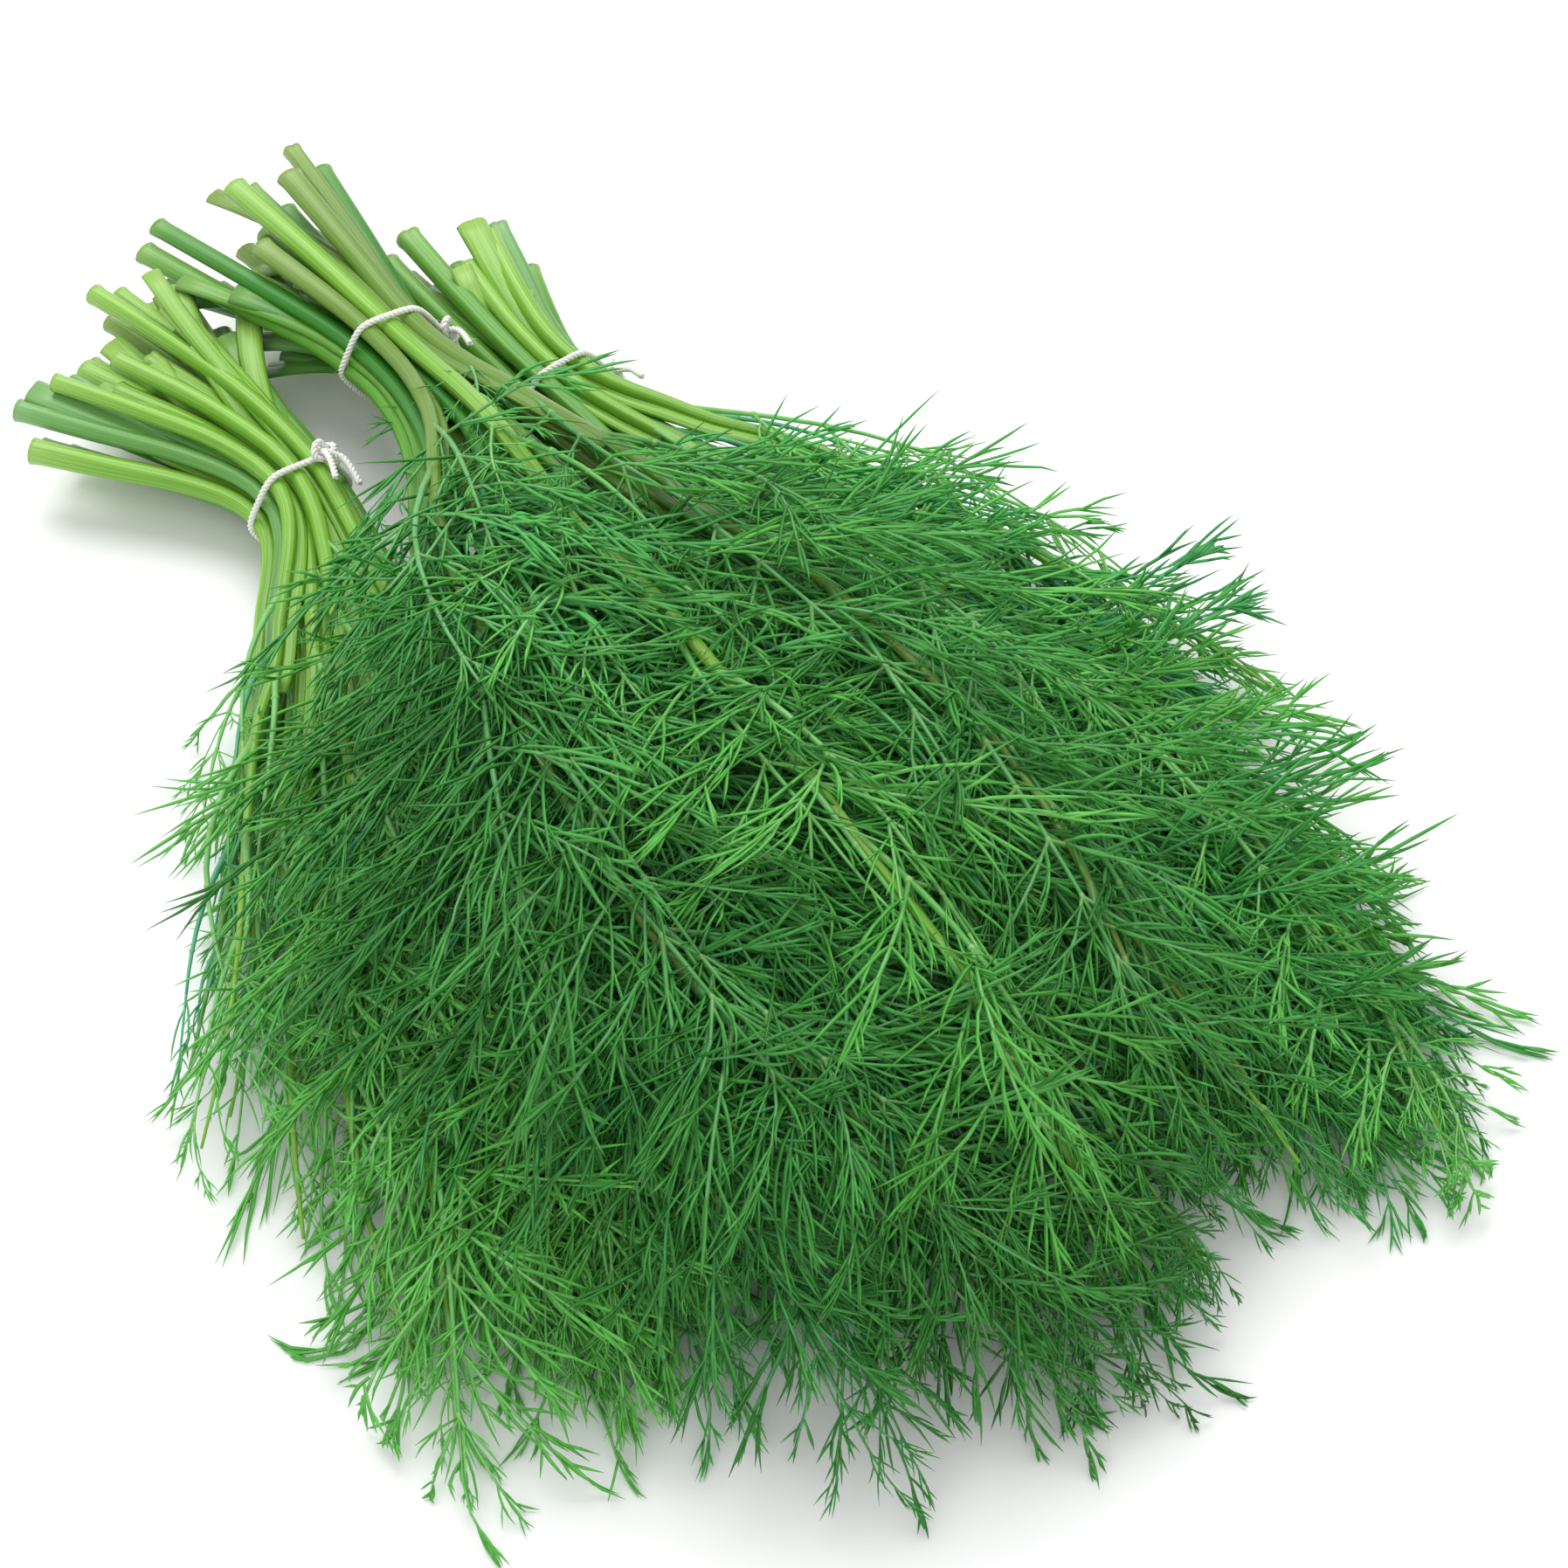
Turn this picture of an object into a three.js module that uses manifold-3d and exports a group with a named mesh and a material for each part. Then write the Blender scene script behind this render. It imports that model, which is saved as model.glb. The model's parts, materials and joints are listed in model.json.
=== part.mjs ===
// A bunch of fresh dill lying on a table: three hanks of sprigs, each tied with string near its cut ends.
// Millimetres, +Z up. +X runs from the cut ends to the frond tips, and the table is z = 0.
//
// Each hank is one bent and flared bundle. A point in it is named by t, along the hank from the cut ends (0)
// to the tips (1), and by u and v, across and up the bundle's unit disc. The sprigs are packed in that disc
// as a hexagon of round cells, so neighbours never touch, however the bundle bends, splays or flattens.
import * as THREE from 'three';
import { mergeVertices } from 'three/addons/utils/BufferGeometryUtils.js';
import Module from 'manifold-3d';

const { clamp, lerp, smoothstep, seededRandom } = THREE.MathUtils;

// Sprigs: a round stem that opens into a flat plume, scalloped where its leaves branch off.
const SPRIG = {
  stemRadius: 2.25,
  sides: 6,
  steps: 14,
  leafyOver: 0.2, // share of the hank over which the stem opens into the plume
  taperFrom: 0.68, // share of the sprig where its tip starts to narrow
  taperTo: 1.04, // just past the end, so that the tip keeps a little width
  scallop: 0.24,
  cutStagger: 0.075, // shares of the hank by which the cut ends and the tips differ
  tipStagger: 0.1,
  swayTurn: 5, // radians that a stem wanders round the middle of its cell
  swayReach: 0.9, // share of the cell's free room that it uses
};

// The unit disc's cells stand in rows of 3, 4, 5, 4 and 3, and each sprig fills nearly all of its own.
const CELL = { rows: [3, 4, 5, 4, 3], radius: 0.2, filled: 0.188 };
const ROW_SPREAD = 1.3; // loose upper and lower rows fan out as wide as the middle row

// Ties: one turn of string, a knot and its two cut tails.
const TIE = {
  bundleRadius: 14,
  stringRadius: 0.8,
  clearance: 0.6,
  knotRadius: 2.4,
  knotSink: 0.45, // share of the knot's radius between the string's middle and the knot's
  lumps: [[-1.2, -1.3], [1.3, -0.6], [0, 1.5]], // along and across the bundle
  tail: 11,
};

// The lower hanks fill a low mound, with a valley between their tips. The middle hank lies on it.
const MOUND = {
  height: 38,
  middle: { x: -10, y: -15 },
  reach: { tips: 186, ties: 320, sides: 152 },
  steepness: 0.6,
  valley: { depth: 17, y: -40, width: 45, from: 50, full: 150 },
};
const TABLE_GAP = 1.5; // under the lower hanks' plumes
const LAYER_GAP = 2; // over them, under the middle hank

// Stations run from the cut ends, through the tie (the second), to the tips. Each gives the place on the
// table, the half width, and the height of the underside and the thickness while the stems are still bound.
// The stems stay bare past the tie for bareAfterTie of the hank. Its sprigs are shorter towards one side of
// the fan: rim is that side, and how short they are there. The knot sits knotTurn round the tie from its top.
const HANKS = {
  left: {
    seed: 11,
    onTop: false,
    droop: 0.45,
    bareAfterTie: 0.12,
    knotTurn: -0.65,
    rim: { side: -0.8, end: 0.72 },
    stations: [
      { x: -236, y: -24, half: 40, under: 3, thick: 34 },
      { x: -158, y: -12, half: 14, under: 3, thick: 28 },
      { x: -112, y: -36, half: 23, under: 2, thick: 30 },
      { x: -60, y: -74, half: 37, under: 2, thick: 30 },
      { x: 4, y: -110, half: 52, under: 2, thick: 30 },
      { x: 70, y: -138, half: 58, under: 2, thick: 30 },
    ],
  },
  right: {
    seed: 23,
    onTop: false,
    droop: 0.45,
    bareAfterTie: 0.05,
    knotTurn: -1.7,
    rim: { side: 0.8, end: 0.72 },
    stations: [
      { x: -202, y: 73, half: 26, under: 3, thick: 32 },
      { x: -142, y: 58, half: 14, under: 3, thick: 28 },
      { x: -98, y: 60, half: 27, under: 2, thick: 28 },
      { x: -48, y: 65, half: 46, under: 2, thick: 30 },
      { x: 22, y: 67, half: 47, under: 2, thick: 30 },
      { x: 94, y: 63, half: 41, under: 2, thick: 30 },
      { x: 158, y: 44, half: 35, under: 2, thick: 30 },
    ],
  },
  middle: {
    seed: 37,
    onTop: true,
    droop: 0.5,
    bareAfterTie: 0.14,
    knotTurn: -1.6,
    rim: { side: -0.8, end: 0.82 },
    stations: [
      { x: -246, y: 38, half: 34, under: 10, thick: 38 },
      { x: -173, y: 31, half: 14, under: 15, thick: 28 },
      { x: -118, y: 15, half: 19, under: 26, thick: 28 },
      { x: -66, y: -6, half: 38, under: 40, thick: 35 },
      { x: -10, y: -18, half: 59, under: 40, thick: 38 },
      { x: 50, y: -32, half: 69, under: 40, thick: 38 },
      { x: 104, y: -36, half: 66, under: 30, thick: 30 },
      { x: 152, y: -28, half: 54, under: 10, thick: 12 },
    ],
  },
};

const FINISH = {
  dill: { colours: ['#3f7a26', '#4c8a2b', '#5b9a33', '#356b24'], roughness: 0.6 },
  string: { colour: '#e9e6dc', roughness: 0.9 },
};

// Height of the lower layer's upper surface over the table.
function moundHeight(x, y) {
  const { middle, reach, valley } = MOUND;
  const along = (x - middle.x) / (x < middle.x ? reach.ties : reach.tips);
  const across = (y - middle.y) / reach.sides;
  const inside = clamp(1 - along * along - across * across, 0.02, 1);
  const depth = valley.depth * smoothstep(x, valley.from, valley.full);
  const dip = depth * Math.exp(-(((y - valley.y) / valley.width) ** 2));
  return Math.max(TABLE_GAP + 3, TABLE_GAP + MOUND.height * inside ** MOUND.steepness - dip);
}

// A hank's stations as two smooth curves: the middle of its underside, then its half width and thickness.
function openHank(hank) {
  const legs = hank.stations.length - 1;
  return {
    ...hank,
    tieAt: 1 / legs,
    looseAt: 3 / legs,
    route: new THREE.CatmullRomCurve3(hank.stations.map((s) => new THREE.Vector3(s.x, s.y, s.under))),
    girth: new THREE.SplineCurve(hank.stations.map((s) => new THREE.Vector2(s.half, s.thick))),
  };
}

// The plan direction of a hank at t, level with the table.
function headingOf(hank, t) {
  const heading = hank.route.getTangent(t);
  return heading.setZ(0).normalize();
}

// The place in space of the point (u, v) of a hank's disc at t.
function pointIn(hank, t, u, v) {
  const middle = hank.route.getPoint(t);
  const heading = headingOf(hank, t);
  const { x: half, y: thick } = hank.girth.getPoint(t);
  const freed = smoothstep(t, hank.tieAt, hank.looseAt);
  const across = u * half * (1 + ROW_SPREAD * v * v * freed);
  const x = middle.x - heading.y * across;
  const y = middle.y + heading.x * across;
  const share = (v + 1) / 2;
  const drooped = share * (1 - hank.droop * u * u);
  const mound = moundHeight(x, y);
  const laid = hank.onTop ? mound + LAYER_GAP + drooped * thick : TABLE_GAP + drooped * (mound - TABLE_GAP);
  return new THREE.Vector3(x, y, lerp(middle.z + share * thick, laid, freed));
}

// A sprig's radii in the disc at t: the stem's own, then the plume's, scalloped and drawn to a point.
function sprigRadii(hank, sprig, t, step) {
  const { x: half, y: thick } = hank.girth.getPoint(t);
  const share = (t - sprig.start) / (sprig.end - sprig.start);
  const stemAcross = Math.min(SPRIG.stemRadius / half, CELL.filled);
  const stemUp = Math.min((2 * SPRIG.stemRadius) / thick, CELL.filled);
  const leafyFrom = hank.tieAt + hank.bareAfterTie;
  const leafy = smoothstep(t, leafyFrom, leafyFrom + SPRIG.leafyOver);
  const taper = Math.cos((Math.PI / 2) * smoothstep(share, SPRIG.taperFrom, SPRIG.taperTo));
  const plume = CELL.filled * (step % 2 ? 1 : 1 - SPRIG.scallop) * taper;
  return { across: lerp(stemAcross, plume, leafy), up: lerp(stemUp, plume, leafy) };
}

// One sprig: a cylinder bent along its cell. Its seed shifts it within the room that the cell leaves.
function sprigGeometry(hank, sprig) {
  const geometry = new THREE.CylinderGeometry(1, 1, 1, SPRIG.sides, SPRIG.steps);
  const position = geometry.attributes.position;
  for (let i = 0; i < position.count; i += 1) {
    const along = position.getY(i) + 0.5;
    const t = lerp(sprig.start, sprig.end, along);
    const radii = sprigRadii(hank, sprig, t, Math.round(along * SPRIG.steps));
    const reach = SPRIG.swayReach * Math.max(CELL.filled - Math.max(radii.across, radii.up), 0);
    const sway = sprig.sway + SPRIG.swayTurn * along;
    const u = sprig.u + reach * Math.cos(sway) - radii.across * position.getX(i);
    const v = sprig.v + reach * Math.sin(sway) + radii.up * position.getZ(i);
    position.setXYZ(i, ...pointIn(hank, t, u, v));
  }
  geometry.computeVertexNormals();
  return geometry;
}

// The cells of a hank, each with the sprig that grows through it.
function sprigsOf(hank) {
  seededRandom(hank.seed);
  const sprigs = [];
  CELL.rows.forEach((count, row) => {
    for (let i = 0; i < count; i += 1) {
      const u = (2 * i + 1 - count) * CELL.radius;
      const v = (row - 2) * CELL.radius * Math.sqrt(3);
      const fanned = u * (1 + ROW_SPREAD * v * v);
      const towardsRim = clamp(fanned / hank.rim.side, 0, 1) ** 2;
      sprigs.push({
        u,
        v,
        start: SPRIG.cutStagger * seededRandom(),
        end: lerp(1, hank.rim.end, towardsRim) - SPRIG.tipStagger * seededRandom(),
        sway: 2 * Math.PI * seededRandom(),
      });
    }
  });
  return sprigs;
}

function meshOf(name, geometry, colour, roughness) {
  const mesh = new THREE.Mesh(
    geometry,
    new THREE.MeshStandardMaterial({ color: colour, roughness, metalness: 0, flatShading: true }),
  );
  mesh.name = name;
  return mesh;
}

const wasm = await Module();
wasm.setup();

function solidOf(geometry) {
  const bare = geometry.clone();
  bare.deleteAttribute('normal');
  bare.deleteAttribute('uv');
  const merged = mergeVertices(bare, 1e-4);
  return new wasm.Manifold(
    new wasm.Mesh({
      numProp: 3,
      vertProperties: new Float32Array(merged.attributes.position.array),
      triVerts: new Uint32Array(merged.index.array),
    }),
  );
}

function geometryOf(solid) {
  const { vertProperties, triVerts } = solid.getMesh();
  const geometry = new THREE.BufferGeometry();
  geometry.setAttribute('position', new THREE.BufferAttribute(vertProperties, 3));
  geometry.setIndex(new THREE.BufferAttribute(triVerts, 1));
  geometry.computeVertexNormals();
  return geometry;
}

// A short cut tail of string, rising out of the knot to one side.
function tailGeometry(side) {
  const { bundleRadius, stringRadius, tail } = TIE;
  const root = bundleRadius + 1;
  const path = new THREE.CatmullRomCurve3([
    new THREE.Vector3(0, side, root),
    new THREE.Vector3(0.4 * tail, side * 4, root + 3),
    new THREE.Vector3(tail, side * 6, root + 3),
  ]);
  const section = new THREE.Shape().absarc(0, 0, stringRadius * 0.9, 0, 2 * Math.PI);
  const options = { steps: 4, curveSegments: 3, bevelEnabled: false, extrudePath: path };
  return new THREE.ExtrudeGeometry(section, options);
}

// A tie round a bundle whose axis is x: one turn, a knot of three lumps on top, and two tails.
function tieGeometry() {
  const { stringRadius, knotRadius } = TIE;
  const ringRadius = TIE.bundleRadius + TIE.clearance + stringRadius;
  const ring = new THREE.TorusGeometry(ringRadius, stringRadius, 6, 22).rotateY(Math.PI / 2);
  const knot = TIE.lumps.map(([x, y]) => {
    const lump = new THREE.SphereGeometry(knotRadius, 6, 5).scale(1, 1, 0.8);
    return lump.translate(x, y, ringRadius + TIE.knotSink * knotRadius);
  });
  const pieces = [ring, ...knot, tailGeometry(-1), tailGeometry(1)];
  return geometryOf(pieces.map(solidOf).reduce((whole, piece) => whole.add(piece)));
}

function addHank(group, name, plan) {
  const hank = openHank(plan);
  const { colours, roughness } = FINISH.dill;
  sprigsOf(hank).forEach((sprig, i) => {
    const number = String(i + 1).padStart(2, '0');
    const colour = colours[i % colours.length];
    group.add(meshOf(`${name}_sprig_${number}`, sprigGeometry(hank, sprig), colour, roughness));
  });
  const knotted = tieGeometry().rotateX(hank.knotTurn);
  const tie = meshOf(`${name}_tie`, knotted, FINISH.string.colour, FINISH.string.roughness);
  const heading = headingOf(hank, hank.tieAt);
  tie.rotation.z = Math.atan2(heading.y, heading.x);
  tie.position.copy(pointIn(hank, hank.tieAt, 0, 0));
  group.add(tie);
}

const group = new THREE.Group();
Object.entries(HANKS).forEach(([name, plan]) => addHank(group, name, plan));

// The origin is the middle of the box's base.
const box = new THREE.Box3().setFromObject(group, true);
const middle = box.getCenter(new THREE.Vector3());
group.position.set(-middle.x, -middle.y, -box.min.z);

export default group;
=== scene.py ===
import json
import math

import bmesh
import bpy
import numpy as np
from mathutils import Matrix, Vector

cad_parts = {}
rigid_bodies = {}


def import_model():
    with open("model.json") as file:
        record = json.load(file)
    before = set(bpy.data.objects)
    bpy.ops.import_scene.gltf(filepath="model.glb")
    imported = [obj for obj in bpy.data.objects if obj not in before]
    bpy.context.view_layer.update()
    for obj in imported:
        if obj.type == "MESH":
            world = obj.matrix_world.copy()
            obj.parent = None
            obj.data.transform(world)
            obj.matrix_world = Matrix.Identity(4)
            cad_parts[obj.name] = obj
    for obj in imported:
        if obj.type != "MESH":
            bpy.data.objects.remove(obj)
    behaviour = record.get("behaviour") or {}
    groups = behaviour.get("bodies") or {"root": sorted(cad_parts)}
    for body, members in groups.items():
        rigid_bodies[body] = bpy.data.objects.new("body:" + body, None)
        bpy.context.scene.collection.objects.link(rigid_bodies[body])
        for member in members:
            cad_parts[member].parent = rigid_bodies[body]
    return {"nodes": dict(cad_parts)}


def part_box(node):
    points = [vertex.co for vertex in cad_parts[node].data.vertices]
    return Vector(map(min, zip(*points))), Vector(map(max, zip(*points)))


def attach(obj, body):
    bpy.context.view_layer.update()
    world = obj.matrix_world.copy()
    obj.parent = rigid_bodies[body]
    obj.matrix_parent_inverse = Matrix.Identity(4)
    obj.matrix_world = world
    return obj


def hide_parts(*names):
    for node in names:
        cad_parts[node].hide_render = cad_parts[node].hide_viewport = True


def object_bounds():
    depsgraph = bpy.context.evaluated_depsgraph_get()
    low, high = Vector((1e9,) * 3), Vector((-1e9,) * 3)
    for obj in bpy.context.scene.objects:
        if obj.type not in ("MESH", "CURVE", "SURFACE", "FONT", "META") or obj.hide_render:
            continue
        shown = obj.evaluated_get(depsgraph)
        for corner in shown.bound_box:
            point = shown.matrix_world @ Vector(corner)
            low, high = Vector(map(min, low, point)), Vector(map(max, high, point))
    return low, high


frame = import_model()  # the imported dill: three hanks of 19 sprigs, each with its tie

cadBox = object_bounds()
boxLow, boxHigh = np.array(cadBox[0]), np.array(cadBox[1])
mm = 0.001
skyward = np.array((0.0, 0.0, 1.0))
hankNames = ("left", "right", "middle")
sprigsPerRow = (3, 4, 5, 4, 3)  # from the bottom of a hank to its top
mapName = "OFBake"  # each piece's map: along a strand, and the shade across it


def addObject(name, data):
    made = bpy.data.objects.new(name, data)
    bpy.context.scene.collection.objects.link(made)
    return made


def unit(vectors):
    return vectors / np.maximum(np.linalg.norm(vectors, axis=-1, keepdims=True), 1e-12)


def runsOf(points):  # how far along its line each point is
    return np.concatenate(((0,), np.cumsum(np.linalg.norm(np.diff(points, axis=0), axis=1))))


def between(place, places, points):  # the point at one place, or at each of several, along a line
    return np.stack([np.interp(place, places, column) for column in points.T], -1)


# camera

viewpoint = {
    "azimuth": 45,  # degrees round from -Y
    "elevation": 48,
    "distance": 0.7,
    "lens": 73,
    "aim": (0.0437, 0.0181, -0.0141),  # from the middle of the whole object
}


def setCamera():
    turn, rise = math.radians(viewpoint["azimuth"]), math.radians(viewpoint["elevation"])
    aim = Vector((boxLow + boxHigh) / 2) + Vector(viewpoint["aim"])
    back = Vector((math.cos(rise) * math.sin(turn), -math.cos(rise) * math.cos(turn), math.sin(rise)))
    camera = addObject("camera", bpy.data.cameras.new("camera"))
    camera.data.lens = viewpoint["lens"]
    camera.data.sensor_width = 36
    camera.data.clip_start = 0.01
    camera.location = aim + back * viewpoint["distance"]
    camera.rotation_euler = (-back).to_track_quat("-Z", "Y").to_euler()
    bpy.context.scene.camera = camera


setCamera()
print("camera set")

# shader nodes


def addNode(tree, kind, **settings):
    made = tree.nodes.new(kind)
    for name, value in settings.items():
        setattr(made, name, value)
    return made


def feed(tree, socket, value):  # a link where value is another socket, or else a fixed value
    if isinstance(value, bpy.types.NodeSocket):
        tree.links.new(value, socket)
    else:
        socket.default_value = value


def calculate(tree, operation, *values, clamp=False):
    made = addNode(tree, "ShaderNodeMath", operation=operation, use_clamp=clamp)
    for socket, value in zip(made.inputs, values):
        feed(tree, socket, value)
    return made.outputs[0]


def stretch(tree, value, low, high, toLow=0.0, toHigh=1.0):
    made = addNode(tree, "ShaderNodeMapRange")
    labels = ("Value", "From Min", "From Max", "To Min", "To Max")
    for label, fixed in zip(labels, (value, low, high, toLow, toHigh)):
        feed(tree, made.inputs[label], fixed)
    return made.outputs["Result"]


def mixColours(tree, share, first, second):
    made = addNode(tree, "ShaderNodeMix", data_type="RGBA")
    feed(tree, made.inputs[0], share)
    feed(tree, made.inputs[6], first)
    feed(tree, made.inputs[7], second)
    return made.outputs[2]


def newGroup(name, takes, gives):
    group = bpy.data.node_groups.new(name, "ShaderNodeTree")
    for direction, sockets in (("INPUT", takes), ("OUTPUT", gives)):
        for label, kind in sockets:
            group.interface.new_socket(name=label, in_out=direction, socket_type="NodeSocket" + kind)
    return group, group.nodes.new("NodeGroupInput").outputs, group.nodes.new("NodeGroupOutput").inputs


def useGroup(tree, group, **values):
    made = addNode(tree, "ShaderNodeGroup", node_tree=group)
    for label, value in values.items():
        feed(tree, made.inputs[label], value)
    return made.outputs


def strandPlaceGroup():  # where a point lies on its strand, from the piece's own map
    takes = [(label, "Float") for label in ("Start", "End", "Dark", "Light")]
    group, given, out = newGroup("strandPlace", takes, [("Along", "Float"), ("Shade", "Float")])
    spot = addNode(group, "ShaderNodeUVMap", uv_map=mapName)
    parts = addNode(group, "ShaderNodeSeparateXYZ")
    feed(group, parts.inputs[0], spot.outputs[0])
    feed(group, out["Along"], stretch(group, parts.outputs["X"], given["Start"], given["End"]))
    feed(group, out["Shade"], stretch(group, parts.outputs["Y"], given["Dark"], given["Light"]))
    return group


def streakGroup():  # long thin streaks that run along a strand
    takes = [(label, "Float") for label in ("Along", "Across", "Lengths", "Widths")]
    group, given, out = newGroup("streaks", takes, [("Streak", "Float")])
    spread = addNode(group, "ShaderNodeCombineXYZ")
    feed(group, spread.inputs["X"], calculate(group, "MULTIPLY", given["Along"], given["Lengths"]))
    feed(group, spread.inputs["Y"], calculate(group, "MULTIPLY", given["Across"], given["Widths"]))
    noise = addNode(group, "ShaderNodeTexNoise")
    noise.inputs["Scale"].default_value = 1
    noise.inputs["Detail"].default_value = 3
    feed(group, noise.inputs["Vector"], spread.outputs[0])
    feed(group, out["Streak"], stretch(group, noise.outputs[0], 0.28, 0.72))
    return group


def growthAndShadeGroup():  # deep to bright across the shade, which holds young and old green and also painted light and shade; pale at the root and dry at the tip
    takes = [("Along", "Float"), ("Shade", "Float"), ("RootShare", "Float"), ("TipShare", "Float")]
    takes += [(label, "Color") for label in ("Deep", "Middle", "Bright", "Root", "Tip")]
    group, given, out = newGroup("growthAndShade", takes, [("Colour", "Color")])
    body = mixColours(group, stretch(group, given["Shade"], 0.0, 0.5), given["Deep"], given["Middle"])
    body = mixColours(group, stretch(group, given["Shade"], 0.5, 1.0), body, given["Bright"])
    pale = calculate(group, "MULTIPLY", stretch(group, given["Along"], 0.16, 0.0), given["RootShare"])
    dry = calculate(group, "MULTIPLY", stretch(group, given["Along"], 0.8, 1.0), given["TipShare"])
    body = mixColours(group, pale, body, given["Root"])
    feed(group, out["Colour"], mixColours(group, dry, body, given["Tip"]))
    return group


strandPlace = strandPlaceGroup()
streaks = streakGroup()
growthAndShade = growthAndShadeGroup()

# materials

# Where each kind of strand lies in a piece's map: along it, then from its darkest shade to its lightest.
mapBands = {
    "stem": {"along": (0.02, 0.98), "shade": (0.02, 0.26)},
    "pith": {"along": (0.02, 0.06), "shade": (0.29, 0.33)},
    "axis": {"along": (0.02, 0.46), "shade": (0.38, 0.97)},
    "thread": {"along": (0.52, 0.98), "shade": (0.38, 0.97)},
    "string": {"along": (0.02, 0.98), "shade": (0.02, 0.98)},
}

# Linear colours, from the deepest to the brightest. Each sprig is grown in one of these tones.
dillTones = {
    "grass": {
        "stem": ((0.0648, 0.227, 0.0155), (0.0962, 0.31, 0.0205), (0.192, 0.463, 0.0693)),
        "axis": ((0.036, 0.215, 0.0432), (0.06, 0.327, 0.0864), (0.136, 0.473, 0.173)),
        "thread": ((0.034, 0.165, 0.024), (0.05, 0.3, 0.046), (0.085, 0.45, 0.09)),
        "root": (0.34, 0.54, 0.18),
        "tip": (0.09, 0.2, 0.03),
    },
    "deep": {
        "stem": ((0.0252, 0.16, 0.0136), (0.032, 0.224, 0.0143), (0.0693, 0.332, 0.0368)),
        "axis": ((0.028, 0.181, 0.036), (0.044, 0.267, 0.0648), (0.096, 0.404, 0.13)),
        "thread": ((0.03, 0.14, 0.02), (0.042, 0.245, 0.038), (0.07, 0.38, 0.072)),
        "root": (0.28, 0.48, 0.14),
        "tip": (0.07, 0.15, 0.02),
    },
    "sea": {
        "stem": ((0.0936, 0.26, 0.0496), (0.117, 0.332, 0.0614), (0.213, 0.463, 0.135)),
        "axis": ((0.024, 0.206, 0.072), (0.04, 0.318, 0.137), (0.104, 0.456, 0.245)),
        "thread": ((0.028, 0.15, 0.028), (0.042, 0.27, 0.058), (0.072, 0.42, 0.12)),
        "root": (0.3, 0.54, 0.24),
        "tip": (0.07, 0.18, 0.04),
    },
    "young": {
        "stem": ((0.108, 0.277, 0.0217), (0.206, 0.462, 0.0383), (0.364, 0.647, 0.118)),
        "axis": ((0.072, 0.292, 0.0432), (0.12, 0.43, 0.0864), (0.224, 0.568, 0.173)),
        "thread": ((0.048, 0.21, 0.026), (0.08, 0.38, 0.05), (0.15, 0.55, 0.1)),
        "root": (0.4, 0.6, 0.18),
        "tip": (0.14, 0.25, 0.04),
    },
    "ripe": {
        "stem": ((0.108, 0.202, 0.0248), (0.133, 0.267, 0.0266), (0.213, 0.376, 0.0655)),
        "axis": ((0.048, 0.215, 0.0432), (0.08, 0.318, 0.0792), (0.16, 0.456, 0.158)),
        "thread": ((0.034, 0.155, 0.022), (0.052, 0.28, 0.042), (0.092, 0.42, 0.084)),
        "root": (0.36, 0.5, 0.16),
        "tip": (0.12, 0.18, 0.03),
    },
}

plainTones = {
    "pith": ((0.36, 0.5, 0.22), (0.62, 0.7, 0.45)),
    "string": ((0.76, 0.75, 0.7), (0.94, 0.93, 0.9)),
}

# Streaks are (lengths, widths) over the map, and relief is (strength, millimetres).
finishes = {
    "stem": {"roughness": (0.26, 0.44), "streaks": (3, 16), "relief": (0.25, 0.2)},
    "axis": {"roughness": (0.36, 0.5), "streaks": (7, 60), "relief": None},
    "thread": {"roughness": (0.42, 0.58), "streaks": (4, 90), "relief": None},
    "pith": {"roughness": (0.5, 0.7), "streaks": (9, 9), "relief": None},
    "string": {"roughness": (0.82, 0.96), "streaks": (160, 26), "relief": (0.5, 0.1)},
}

# How far streaks swing the shade, how much the surface shines, how pale its root is and how dry its tip.
dillLooks = {
    "stem": {"swing": 0.6, "shine": 0.5, "pale": 0.5, "dry": 0.0},
    "axis": {"swing": 0.3, "shine": 0.35, "pale": 0.45, "dry": 0.1},
    "thread": {"swing": 0.2, "shine": 0.3, "pale": 0.15, "dry": 0.5},
}
stemShade = 0.42  # a stem's map runs round it, so its shade is only this and its streaks


def newMaterial(name):
    material = bpy.data.materials.new(name)
    material.use_nodes = True
    tree = material.node_tree
    return material, tree, tree.nodes["Principled BSDF"].inputs


def streakedMaterial(name, kind):  # its roughness and relief follow the streaks that run along it
    material, tree, surface = newMaterial(name)
    (start, end), (dark, light) = mapBands[kind]["along"], mapBands[kind]["shade"]
    place = useGroup(tree, strandPlace, Start=start, End=end, Dark=dark, Light=light)
    finish = finishes[kind]
    lengths, widths = finish["streaks"]
    drawn = useGroup(
        tree, streaks, Along=place["Along"], Across=place["Shade"], Lengths=lengths, Widths=widths,
    )
    streak = drawn["Streak"]
    feed(tree, surface["Roughness"], stretch(tree, streak, 0.0, 1.0, *finish["roughness"]))
    if finish["relief"]:
        strength, height = finish["relief"]
        relief = addNode(tree, "ShaderNodeBump")
        relief.inputs["Strength"].default_value = strength
        relief.inputs["Distance"].default_value = height * mm
        feed(tree, relief.inputs["Height"], streak)
        feed(tree, surface["Normal"], relief.outputs[0])
    return material, tree, surface, place, streak


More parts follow.
